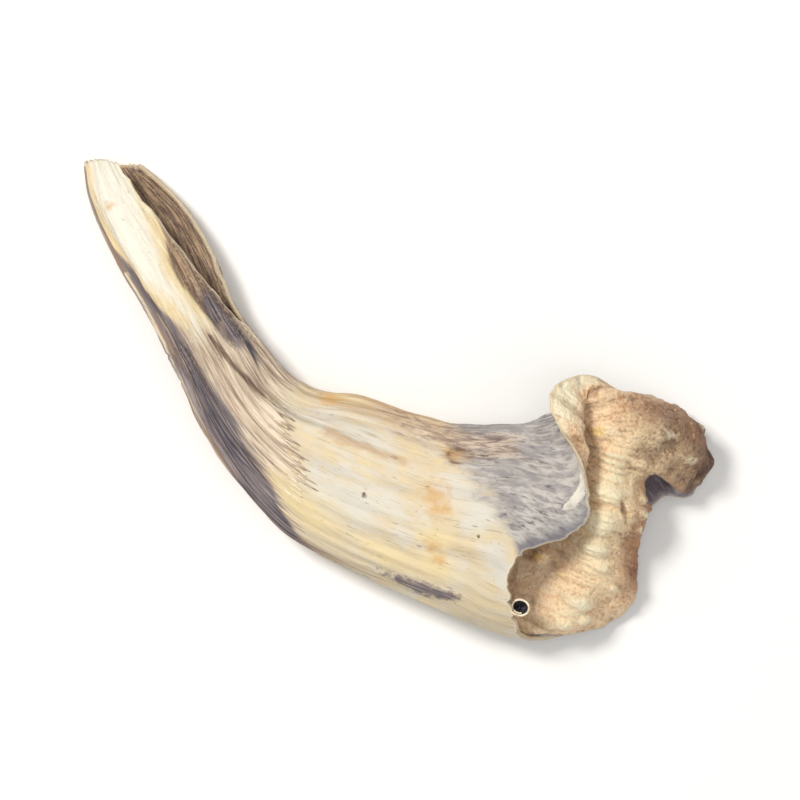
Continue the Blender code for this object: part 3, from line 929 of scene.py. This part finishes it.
def frayed(lead, pattern, reach, soft):
    # 1 inside a zone and 0 outside; its border is pushed to and fro by up to reach millimetres
    return ramp(shaken(lead, pattern, 2 * reach), -soft, soft)


def mixed(amount, under, over, blend="MIX"):
    settings = {"data_type": "RGBA", "blend_type": blend, "clamp_factor": True}
    return put("ShaderNodeMix", {0: amount, 6: under, 7: over}, **settings).outputs[2]


def layer(under, over, *masks, blend="MIX"):
    # over is laid on under by the product of the masks
    return mixed(times(*masks), under, over, blend)


def stretched(vector, factors):
    return put("ShaderNodeVectorMath", {0: vector, 1: factors}, operation="MULTIPLY").outputs["Vector"]


def noiseAt(vector, scale, detail, roughness=0.55, warp=0.0):
    inputs = {"Vector": vector, "Scale": scale, "Detail": detail, "Roughness": roughness}
    return put("ShaderNodeTexNoise", {**inputs, "Distortion": warp}).outputs["Fac"]


def grainNoise(vector, around, along, detail, roughness=0.6, warp=0.0):
    # noise on the grain, which is this much finer round the section and along the fibres
    return noiseAt(stretched(vector, (around, around, along)), 1.0, detail, roughness, warp)


def bumps(height, strength, distance):
    inputs = {"Strength": strength, "Distance": distance, "Height": height}
    return put("ShaderNodeBump", inputs).outputs["Normal"]


def startMaterial(name):
    # read gives one of the mesh's attributes, spot the place in millimetres
    material = bpy.data.materials.new(name)
    material.use_nodes = True
    tree = material.node_tree
    tree.nodes.clear()
    shader = tree.nodes.new("ShaderNodeBsdfPrincipled")
    put("ShaderNodeOutputMaterial", {"Surface": shader.outputs["BSDF"]})

    def read(attribute, output="Fac"):
        return put("ShaderNodeAttribute", {}, tree, attribute_name=attribute).outputs[output]

    spot = stretched(put("ShaderNodeTexCoord", {}, tree).outputs["Object"], (1000, 1000, 1000))
    return material, shader, read, spot


def shadesOf(colours):
    # every colour of a table under its own name, as the shader takes it
    return SimpleNamespace(**{name: linear(*colour) for name, colour in colours.items()})


outerColours = {
    "stripPale": (240, 235, 219),
    "stripWarm": (231, 207, 156),
    "creamPale": (216, 201, 175),
    "creamWarm": (218, 199, 162),
    "creamYellow": (230, 209, 158),
    "creamCool": (216, 212, 200),
    "neckPale": (236, 219, 194),
    "neckDark": (170, 146, 126),
    "slatePale": (156, 144, 142),
    # the dark of the slate band: partly its own dark blue-grey, partly painted shade where the skin turns
    # down towards its side edge
    "slateDark": (70, 64, 74),
    "ashPale": (195, 189, 181),
    "ashDark": (151, 145, 143),
    # painted shade along the ash zone's lower edge and its top edge, where the skin turns away
    "ashRim": (112, 110, 116),
    "pit": (98, 90, 92),
    "tan": (186, 148, 108),
    "wornPale": (212, 188, 162),
    "wornDark": (142, 116, 100),
    "ochre": (210, 164, 98),
    "line": (112, 88, 70),
    "dark": (92, 64, 46),
    "bruise": (78, 70, 92),
    "side": (150, 122, 104),
    # painted shade in the gaps between the bell's tongues over the neck
    "gap": (132, 104, 82),
    "besidePale": (182, 154, 124),
    "besideDark": (104, 82, 72),
    "foldShade": (104, 95, 92),
    "crease": (228, 214, 184),
    "torn": (238, 226, 196),
    "sliver": (230, 224, 208),
    "sliverShade": (204, 197, 184),
}

# patterns that run with the fibres: how much finer round the section and along it, detail,
# roughness, warp
outerGrain = {
    "fibres": (2.8, 1.3, 4.0, 0.62),
    "hairs": (7.5, 2.6, 3.0),
    "dashes": (5.0, 6.0, 2.0, 0.5),
    "tongues": (2.4, 0.7, 2.0),
    "patches": (1.3, 3.2, 4.0, 0.6, 0.6),
    "mottle": (3.2, 5.0, 4.0, 0.65, 0.4),
    "furrows": (3.8, 7.0, 4.0, 0.6, 0.3),
    "combs": (4.2, 0.4, 1.0, 0.4),
    "blots": (2.6, 4.0, 3.0, 0.65, 0.5),
}

# patterns that lie on the skin any way round: number to a millimetre, detail, roughness
outerSpots = {
    "cloud": (0.3, 3.0),
    "yellow": (0.42, 3.0, 0.6),
    "grit": (2.6, 3.0, 0.6),
    "blotch": (1.4, 4.0, 0.65),
}


def outerZones(read, noise, shade):
    # what each zone looks like by itself, and three patterns that are used again on top
    streaky = ramp(plus(noise.fibres, noise.hairs, 0.5), 0.57, 0.93)
    tone = plus(times(noise.patches, 0.8), noise.fibres, 0.3)
    cream = mixed(ramp(tone, 0.38, 0.72), shade.creamWarm, shade.creamPale)
    cream = layer(cream, shade.creamYellow, ramp(noise.yellow, 0.5, 0.66), 0.35)
    cream = layer(cream, shade.creamCool, ramp(noise.cloud, 0.48, 0.66), 0.5)
    cream = layer(cream, shade.creamYellow, frayed(read("sunned"), noise.patches, 1.4, 0.7), 0.7)
    cream = layer(cream, shade.creamCool, frayed(read("bleached"), noise.patches, 1.4, 0.8), 0.8)
    warmth = ramp(plus(read("strip"), noise.patches, 3.4), 3.4, 1.7)
    furrow = times(ramp(noise.furrows, 0.52, 0.7), ramp(noise.cloud, 0.36, 0.56))
    # painted shade along the ash zone's lower edge
    rimShade = frayed(read("rimShade"), noise.fibres, 0.8, 0.7)
    ash = mixed(ramp(noise.mottle, 0.38, 0.6), shade.ashDark, shade.ashPale)
    ash = layer(ash, shade.ashDark, ramp(noise.patches, 0.56, 0.4), 0.5)
    ash = layer(ash, shade.pit, furrow, 0.9)
    brown = mixed(ramp(noise.fibres, 0.36, 0.64), shade.besideDark, shade.besidePale)
    worn = mixed(ramp(noise.mottle, 0.42, 0.6), shade.wornDark, shade.wornPale)
    return SimpleNamespace(
        neck=mixed(streaky, shade.neckDark, shade.neckPale),
        cream=cream,
        strip=layer(shade.stripPale, shade.stripWarm, warmth, 0.9),
        slate=mixed(ramp(noise.fibres, 0.4, 0.66), shade.slateDark, shade.slatePale),
        ash=layer(ash, shade.ashRim, rimShade, 0.85),
        brown=layer(brown, shade.wornPale, ramp(noise.grit, 0.52, 0.66), 0.55),
        worn=layer(worn, shade.pit, furrow, 0.7),
        sliver=mixed(ramp(noise.blotch, 0.36, 0.56), shade.sliverShade, shade.sliver),
        tone=tone,
        furrow=furrow,
        rimShade=rimShade,
    )


def outerLayers(read, noise, shade, zone):
    # the zones, one over the other; the bell's skin ends in a comb of tongues over the neck, with painted
    # shade in the gaps between them; the ash's top edge gets painted shade where it turns away
    fray = read("fray")
    comb = shaken(read("frayLead"), plus(calc("SUBTRACT", noise.combs, 0.25), noise.fibres, 0.5), 6.5)
    plainBorder, combBorder = frayed(read("bell"), noise.tongues, 5.0, 0.25), ramp(comb, -0.06, 0.12)
    onBell = plus(plainBorder, fray, calc("SUBTRACT", combBorder, plainBorder))
    onTips = times(fray, ramp(read("frayLead"), -1.4, -0.4))
    onAsh = frayed(read("ash"), noise.patches, 3.2, 1.4)
    stripEnd = frayed(read("stripFade"), noise.tongues, 4.0, 2.0)
    onStrip = times(frayed(read("strip"), noise.fibres, 0.5, 0.12), stripEnd)
    look = mixed(onBell, zone.neck, zone.cream)
    look = layer(look, shade.tan, read("tan"), ramp(noise.fibres, 0.35, 0.6), 0.85)
    look = layer(look, shade.tan, ramp(shaken(read("vein"), noise.patches, 1.6), 0.7, 0.05), 0.6)
    look = layer(look, shade.side, read("side"), ramp(noise.fibres, 0.7, 0.4), 0.95)
    # painted shade in the gaps between the tongues, near their tips
    look = layer(look, shade.gap, ramp(comb, -1.0, -0.15), ramp(comb, 0.06, -0.06), onTips, 0.75)
    look = layer(look, zone.brown, frayed(read("beside"), noise.fibres, 0.8, 0.3))
    look = layer(look, zone.ash, onAsh)
    look = layer(look, zone.worn, frayed(read("weathered"), noise.patches, 1.6, 0.6), 0.7)
    # painted shade along the top edge, where the skin turns away
    look = layer(look, shade.ashRim, read("topShade"), ramp(noise.fibres, 0.6, 0.4), 0.7)
    # the slate band: its own dark blue-grey, darkened further by painted shade where the skin turns down
    look = layer(look, zone.slate, frayed(read("slate"), noise.fibres, 2.4, 0.4))
    return layer(look, zone.strip, onStrip), times(onBell, fray), onAsh, onStrip


def outerMarks(look, read, noise, shade):
    # single marks: stains, a bruise, pale creases, a scar and its edge, the split and pinholes
    look = layer(look, shade.ochre, frayed(read("stain"), noise.blotch, 1.5, 0.9), 0.7)
    bruise = frayed(read("bruise"), noise.blotch, 1.4, 0.5)
    look = layer(look, shade.bruise, bruise, ramp(noise.fibres, 0.8, 0.45), 0.9)
    crease = ramp(shaken(read("crease"), noise.hairs, 0.8), 0.24, 0.08)
    look = layer(look, shade.crease, crease, ramp(noise.tongues, 0.42, 0.56), 0.9)
    look = layer(look, shade.tan, ramp(shaken(read("scar"), noise.blots, 1.2), 1.1, 0.5), 0.4)
    look = layer(look, shade.line, frayed(read("scarEdge"), noise.blots, 0.45, 0.2), 0.85)
    look = layer(look, shade.dark, ramp(shaken(read("split"), noise.hairs, 0.5), 0.3, 0.08), 0.8)
    return layer(look, shade.dark, ramp(shaken(read("pinhole"), noise.grit, 2.4), 1.3, 0.6), 0.85)


def outerLines(look, read, noise, shade, zone, crack, smooth):
    # fine lines, cracks and specks, painted shade in the low places of the relief and beside the lifted
    # sliver, the sliver itself and the bare torn rim
    line = times(ramp(noise.hairs, 0.42, 0.3), ramp(zone.tone, 0.8, 0.5), ramp(smooth, 1.0, 0.2))
    look = layer(look, shade.line, line, 0.3, blend="MULTIPLY")
    look = layer(look, shade.line, crack, 0.55)
    look = layer(look, shade.tan, ramp(noise.grit, 0.66, 0.72), 0.5)
    # painted shade in the low places of the relief
    look = layer(look, shade.line, ramp(read("raised"), 0.05, -0.3), 0.3, blend="MULTIPLY")
    look = layer(look, shade.foldShade, frayed(read("foldShade"), noise.hairs, 0.15, 0.12), 0.7)
    look = layer(look, zone.sliver, frayed(read("fold"), noise.hairs, 0.25, 0.08), 0.9)
    rim = times(ramp(read("edge"), 0.2, 0.04), calc("SUBTRACT", 0.7, times(zone.rimShade, 0.5)))
    return layer(look, shade.torn, rim)


def outerSkin():
    # smooth fibrous skin: colour zones with frayed borders, streaks, dark cracks, specks and fibres
    material, shader, read, spot = startMaterial("outer_skin")
    shade = shadesOf(outerColours)
    grain = read("grain", "Vector")
    patterns = {name: grainNoise(grain, *sizes) for name, sizes in outerGrain.items()}
    patterns.update({name: noiseAt(spot, *sizes) for name, sizes in outerSpots.items()})
    noise = SimpleNamespace(**patterns)
    zone = outerZones(read, noise, shade)
    look, onComb, onAsh, onStrip = outerLayers(read, noise, shade, zone)
    look = outerMarks(look, read, noise, shade)
    crack = times(ramp(noise.dashes, 0.64, 0.74), ramp(noise.cloud, 0.45, 0.6))
    look = outerLines(look, read, noise, shade, zone, crack, calc("MAXIMUM", onStrip, onAsh))

    height = plus(plus(noise.fibres, noise.hairs, 0.3), noise.mottle, 0.4)
    height = times(height, ramp(read("bell"), 3.0, -3.0))
    height = plus(height, calc("ADD", noise.mottle, noise.fibres), 0.4)
    height = plus(height, onComb, 0.6)
    height = plus(height, plus(crack, zone.furrow, onAsh), -0.12)
    inputs = {"Value": noise.fibres, "From Min": 0.3, "From Max": 0.7, "To Min": 0.58, "To Max": 0.8}
    rough = put("ShaderNodeMapRange", inputs).outputs["Result"]
    finish = {"Base Color": look, "Roughness": rough, "Specular IOR Level": 0.35}
    fill(shader, {**finish, "Normal": bumps(height, 0.8, 0.00018)})
    return material


innerColours = {
    "pale": (255, 225, 184),
    "dark": (206, 152, 104),
    # painted light: the hollow's reddish brown made much paler to make up for the shade the wall above
    # casts into it
    "red": (255, 232, 200),
    "redDark": (255, 212, 168),
    "rust": (122, 82, 55),
    "stemPale": (204, 174, 140),
    "stemDark": (102, 80, 72),
    "gold": (240, 206, 148),
    # paler band along the ridge: partly its own paler tone, partly painted highlight where it is lit
    "ridge": (255, 231, 187),
    # painted highlight on the raised tops of the ridge and on the knobs
    "crest": (255, 242, 204),
    # golden knob in the hollow, painted brighter as a highlight against the hollow's shade
    "bead": (255, 214, 130),
    # painted shade on the ridge's right flank, which faces away from the light
    "flank": (182, 144, 116),
    "corner": (255, 246, 214),
    "cornerShade": (246, 227, 188),
    # painted shade in the narrow cleft, dark reddish brown
    "cleft": (140, 90, 58),
    # painted shade in the hollows of the relief
    "deep": (120, 84, 60),
    "slate": (108, 100, 114),
    "slatePale": (182, 178, 188),
    "tail": (188, 188, 190),
    "margin": (222, 200, 162),
}


def innerVelvet():
    # brown scaly inner face: redder in the hollow, painted paler there as light against the wall's shade,
    # streaked in the stem, pale on scales; painted highlights on the ridge, its crest and the knobs,
    # painted shade on the ridge's flank, in the cleft, under the arm and in hollows of the relief
    material, shader, read, spot = startMaterial("inner_velvet")
    shade = shadesOf(innerColours)
    place, raised, edge = read("place"), read("raised"), read("edge")
    arm, ridge, knobLead = read("arm"), read("ridge"), read("knobHighlight")
    fibres = grainNoise(read("grain", "Vector"), 2.6, 2.4, 4.0)
    radial = grainNoise(read("frill", "Vector"), 2.0, 1.2, 4.0)
    scales, torn = noiseAt(spot, 2.8, 4.0, 0.65), noiseAt(spot, 1.2, 5.0, 0.65)
    cloud, flecks = noiseAt(spot, 0.4, 3.0), noiseAt(spot, 1.9, 3.0)

    # what each zone looks like by itself
    tone = plus(plus(scales, cloud, 0.7), radial, 0.5)
    lip = mixed(ramp(tone, 0.82, 1.25), shade.dark, shade.pale)
    lip = layer(lip, shade.rust, arm, 0.95, blend="MULTIPLY")
    # the hollow, painted paler as light against the wall's shade
    red = mixed(ramp(tone, 0.85, 1.3), shade.redDark, shade.red)
    stem = mixed(ramp(fibres, 0.36, 0.64), shade.stemDark, shade.stemPale)
    stem = layer(stem, shade.stemPale, ramp(scales, 0.5, 0.66), 0.5)
    bead = mixed(ramp(place, 11.95, 11.8), shade.crest, shade.bead)
    cream = mixed(ramp(radial, 0.3, 0.7), shade.cornerShade, shade.corner)
    # the bare patch under the arm: its own blue-grey, paler at its free edge and darker away from it as
    # painted shade under the arm
    light = calc("MAXIMUM", ramp(edge, 1.0, 0.1), ramp(radial, 0.45, 0.8))
    slate = mixed(light, shade.slate, shade.slatePale)
    greys = mixed(ramp(radial, 0.4, 0.6), shade.slatePale, shade.tail)

    # stem, hollow and lip, then the lip's ridge, knobs, arm, cleft, corner and bare patches
    look = mixed(ramp(place, 5.2, 7.5), stem, red)
    look = layer(look, lip, ramp(calc("ADD", place, cloud), 12.0, 12.5))
    look = layer(look, shade.gold, ramp(flecks, 0.6, 0.68), ramp(place, 10.8, 11.4), 0.5)
    # painted shade on the ridge's right flank
    look = layer(look, shade.flank, read("flank"), 0.9, blend="MULTIPLY")
    # paler band along the ridge: partly its own tone, partly painted highlight
    look = layer(look, shade.ridge, ridge, ramp(scales, 0.26, 0.58), 0.8)
    # painted highlight on the raised tops of the ridge
    crest = times(ridge, ramp(raised, 0.1, 0.4), ramp(flecks, 0.36, 0.56))
    look = layer(look, shade.crest, crest, 0.5)
    rough = calc("SUBTRACT", calc("ADD", scales, flecks), 1.0)
    # painted highlight on the knobs, golden on the one in the hollow
    knobHighlight = times(ramp(plus(knobLead, rough, 0.9), -0.1, 0.8), ramp(knobLead, 0.0, 0.4))
    look = layer(look, bead, knobHighlight)
    look = layer(look, shade.rust, arm, ramp(edge, 4.5, 0.5), 0.64, blend="MULTIPLY")
    # painted shade in the narrow cleft
    look = layer(look, shade.cleft, frayed(read("cleft"), scales, 0.4, 0.15), 0.6)
    look = layer(look, cream, frayed(read("corner"), scales, 0.8, 0.8))
    look = layer(look, slate, frayed(read("flap"), torn, 0.5, 0.15), 0.9)
    look = layer(look, greys, frayed(read("tail"), radial, 1.6, 0.4), 0.8)
    # painted shade in the low places of the relief
    look = layer(look, shade.deep, ramp(raised, 0.02, -0.16), 0.45, blend="MULTIPLY")
    look = layer(look, shade.margin, ramp(edge, 0.26, 0.08), 0.6)

    glossy = calc("MAXIMUM", knobHighlight, times(crest, 0.8))
    finish = {"Base Color": look, "Roughness": ramp(glossy, 1.8, -0.7), "Specular IOR Level": 0.5}
    velvet = {"Sheen Weight": 0.12, "Sheen Roughness": 0.5}
    fill(shader, {**finish, **velvet, "Normal": bumps(plus(scales, radial, 0.5), 1.0, 0.00035)})
    return material


fleshColours = {
    "pale": (244, 232, 206),
    "warm": (224, 203, 163),
    "shade": (150, 122, 96),
    # the inside of the rolled strip: dark greys painted as the shade in the roll
    "insidePale": (84, 76, 84),
    "insideDark": (46, 40, 48),
}


def tornFlesh():
    # bare torn flesh: near white, warmer in blotches and darker in grains a sixth of a millimetre wide
    material, shader, _, spot = startMaterial("torn_flesh")
    shade = shadesOf(fleshColours)
    blotch, grit = noiseAt(spot, 1.2, 3.0), noiseAt(spot, 6.0, 2.0)
    look = mixed(ramp(blotch, 0.4, 0.62), shade.warm, shade.pale)
    look = layer(look, shade.shade, ramp(grit, 0.56, 0.7), 0.5)
    fill(shader, {"Base Color": look, "Roughness": 0.7, "Normal": bumps(grit, 0.6, 0.0001)})
    return material


def curlInsideShade():
    # inside of the rolled strip painted dark slate as the shade in the roll: two greys in blotches of half
    # a millimetre
    material, shader, _, spot = startMaterial("curl_inside_shade")
    shade = shadesOf(fleshColours)
    look = mixed(ramp(noiseAt(spot, 2.0, 3.0), 0.4, 0.6), shade.insideDark, shade.insidePale)
    fill(shader, {"Base Color": look, "Roughness": 0.75})
    return material


skin.data.materials.append(outerSkin())
skin.data.materials.append(innerVelvet())
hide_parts("trumpet_mushroom")
flesh = tornFlesh()
looseFibres.data.materials.append(flesh)
rolledStrip.data.materials.append(flesh)
rolledStrip.data.materials.append(curlInsideShade())
for piece in (skin, looseFibres, rolledStrip):
    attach(piece, "root")
print("materials made")


studio = {
    "turn": 36.0,  # degrees that the camera's right-hand side is turned from +X
    "lens": 160.0,
    "sensor": 36.0,
    "fill": 0.80,  # share of the frame's width that the mushroom takes
    "world": (1.0, 1.0, 1.0, 1),
    "worldStrength": 0.42,
    "floor": (244, 243, 241),
    "floorSide": 1.2,  # metres from the middle to each side
    "floorDrop": 0.00002,  # metres that it lies under the mushroom
    # size, power, distance, degrees round from the camera's right, degrees above the floor, colour
    "lamps": {
        "key": (0.11, 1.8, 0.5, 140, 57, (1.0, 0.97, 0.93)),
        "fill": (0.5, 0.55, 0.6, -40, 45, (1.0, 0.99, 0.97)),
        "overhead": (0.35, 0.85, 0.75, 0, 88, (1.0, 1.0, 1.0)),
    },
}


def makeFloor():
    # a plain square sheet just under the mushroom
    side = studio["floorSide"]
    corners = [(-side, -side, 0), (side, -side, 0), (side, side, 0), (-side, side, 0)]
    mesh = bpy.data.meshes.new("floor")
    mesh.from_pydata(corners, [], [(0, 1, 2, 3)])
    floor = bpy.data.objects.new("floor", mesh)
    floor.location.z = -studio["floorDrop"]
    bpy.context.scene.collection.objects.link(floor)
    material = bpy.data.materials.new("pale_floor")
    material.use_nodes = True
    finish = {"Base Color": linear(*studio["floor"]), "Roughness": 0.9}
    fill(material.node_tree.nodes["Principled BSDF"], finish)
    mesh.materials.append(material)


def makeLights():
    # a soft world and square lamps, each turned to face the mushroom from its own direction
    scene = bpy.context.scene
    world = bpy.data.worlds.new("studio")
    world.use_nodes = True
    backdrop = {"Color": studio["world"], "Strength": studio["worldStrength"]}
    fill(world.node_tree.nodes["Background"], backdrop)
    scene.world = world
    for name, (size, power, away, around, above, colour) in studio["lamps"].items():
        data = bpy.data.lights.new(name, "AREA")
        data.size, data.energy, data.color = size, power, colour
        lamp = bpy.data.objects.new(name, data)
        turn, lift = math.radians(studio["turn"] + around), math.radians(above)
        lamp.location = (
            away * math.cos(lift) * math.cos(turn),
            away * math.cos(lift) * math.sin(turn),
            away * math.sin(lift),
        )
        lamp.rotation_euler = (math.pi / 2 - lift, 0, turn + math.pi / 2)
        scene.collection.objects.link(lamp)


def makeCamera():
    # straight down, turned so that the mushroom lies as in the photograph
    data = bpy.data.cameras.new("camera")
    data.lens, data.sensor_width = studio["lens"], studio["sensor"]
    turn = math.radians(studio["turn"])
    spots = np.empty(len(skin.data.vertices) * 3)
    skin.data.vertices.foreach_get("co", spots)
    spots = spots.reshape(-1, 3)
    axes = np.array([[math.cos(turn), -math.sin(turn)], [math.sin(turn), math.cos(turn)]])
    seen = spots[:, :2] @ axes
    middle = axes @ ((seen.min(axis=0) + seen.max(axis=0)) / 2)
    width = np.ptp(seen, axis=0).max()
    camera = bpy.data.objects.new("camera", data)
    away = width / studio["fill"] * data.lens / data.sensor_width
    camera.location = (*middle, spots[:, 2].max() / 2 + away)
    camera.rotation_euler = (0, 0, turn)
    data.clip_start, data.clip_end = 0.01, 10
    bpy.context.scene.collection.objects.link(camera)
    bpy.context.scene.camera = camera


makeFloor()
makeLights()
makeCamera()
bpy.context.scene.view_settings.view_transform = "Standard"
print("studio ready")
